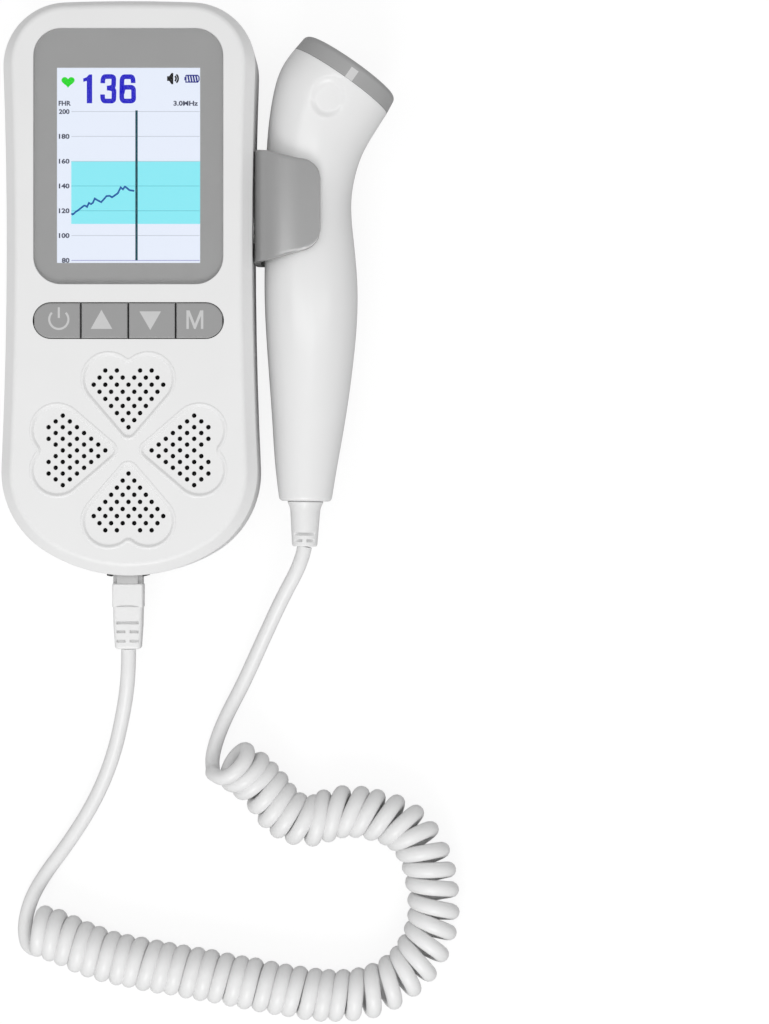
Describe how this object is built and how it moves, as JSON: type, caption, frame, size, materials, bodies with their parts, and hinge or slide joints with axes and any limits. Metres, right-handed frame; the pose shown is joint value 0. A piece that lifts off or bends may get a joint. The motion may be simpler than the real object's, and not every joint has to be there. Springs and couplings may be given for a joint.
{
  "type": "fetal doppler monitor",
  "caption": "Hand-held heartbeat monitor with a colour screen, keys and a heart-pattern grille, and a bent probe on a curly cord held in a side clip.",
  "frame": {"origin": "on the back face of the hand unit, on the face's centre line, with the unit lying on its back", "axes": "+X towards the probe clip, +Y towards the unit's top end, +Z out of the screen"},
  "size_m": [0.1173, 0.263, 0.0294],
  "materials": {
    "case_white": "satin white ABS",
    "clip_grey": "satin grey nylon",
    "key_grey": "satin grey",
    "lens_clear": "clear acrylic",
    "print_grey": "printed border",
    "display": "lit colour screen",
    "metal": "plain steel",
    "board_green": "solder mask",
    "chip_black": "moulded",
    "black_plastic": "moulded",
    "battery_foil": "foil pouch",
    "foam": "foam",
    "cloth": "woven mesh",
    "contact": "gold plated",
    "cord_white": "satin jacket",
    "cap_grey": "satin grey",
    "mark_grey": "moulded mark",
    "label": "bare label film",
    "crystal": "silvered ceramic"
  },
  "bodies": {
    "unit": {"front_shell": "case_white", "rear_shell": "case_white", "back_label": "label", "case_screws": "metal", "window_lens": "lens_clear", "border_film": "print_grey", "display_panel": "display", "display_frame": "black_plastic", "tact_switches": "metal", "main_board": "board_green", "board_screws": "metal", "board_chips": "chip_black", "shield_can": "metal", "charge_socket": "metal", "phone_jack": "black_plastic", "battery_cell": "battery_foil", "speaker_gasket": "foam", "grille_cloth": "cloth", "speaker_basket": "metal", "speaker_cone": "foam", "speaker_magnet": "metal", "socket_board": "board_green", "probe_socket": "black_plastic", "socket_contacts": "contact", "probe_clip": "clip_grey", "cord_plug_lead": "cord_white", "cord_coil": "cord_white", "cord_probe_lead": "cord_white"},
    "probe": {"probe_front_shell": "case_white", "probe_rear_shell": "case_white", "probe_cap": "cap_grey", "cap_mark": "mark_grey", "transducer_discs": "crystal", "transducer_backing": "foam", "probe_board": "board_green", "probe_boot": "cord_white", "cord_probe_inner": "cord_white"},
    "plug": {"plug_nose": "clip_grey", "plug_contacts": "contact", "plug_housing": "case_white", "plug_boot": "cord_white", "cord_plug_inner": "cord_white"},
    "power_key": {"key_power": "key_grey", "plunger_power": "black_plastic"},
    "up_key": {"key_up": "key_grey", "plunger_up": "black_plastic"},
    "down_key": {"key_down": "key_grey", "plunger_down": "black_plastic"},
    "mode_key": {"key_mode": "key_grey", "plunger_mode": "black_plastic"}
  },
  "joints": [
    {"name": "power_press", "type": "slide", "parent": "unit", "child": "power_key", "axis": [0, 0, -1], "range_m": [0, 0.0005], "stiffness_N_per_m": 800, "springref_m": -0.0008},
    {"name": "up_press", "type": "slide", "parent": "unit", "child": "up_key", "axis": [0, 0, -1], "range_m": [0, 0.0005], "stiffness_N_per_m": 800, "springref_m": -0.0008},
    {"name": "down_press", "type": "slide", "parent": "unit", "child": "down_key", "axis": [0, 0, -1], "range_m": [0, 0.0005], "stiffness_N_per_m": 800, "springref_m": -0.0008},
    {"name": "mode_press", "type": "slide", "parent": "unit", "child": "mode_key", "axis": [0, 0, -1], "range_m": [0, 0.0005], "stiffness_N_per_m": 800, "springref_m": -0.0008},
    {"name": "probe_release", "type": "slide", "parent": "unit", "child": "probe", "axis": [1, 0, 0], "range_m": [0, 0.045], "deforming": ["cord_probe_lead"]},
    {"name": "plug_pull", "type": "slide", "parent": "unit", "child": "plug", "axis": [0, -1, 0], "range_m": [0, 0.012], "deforming": ["cord_plug_lead"]}
  ]
}
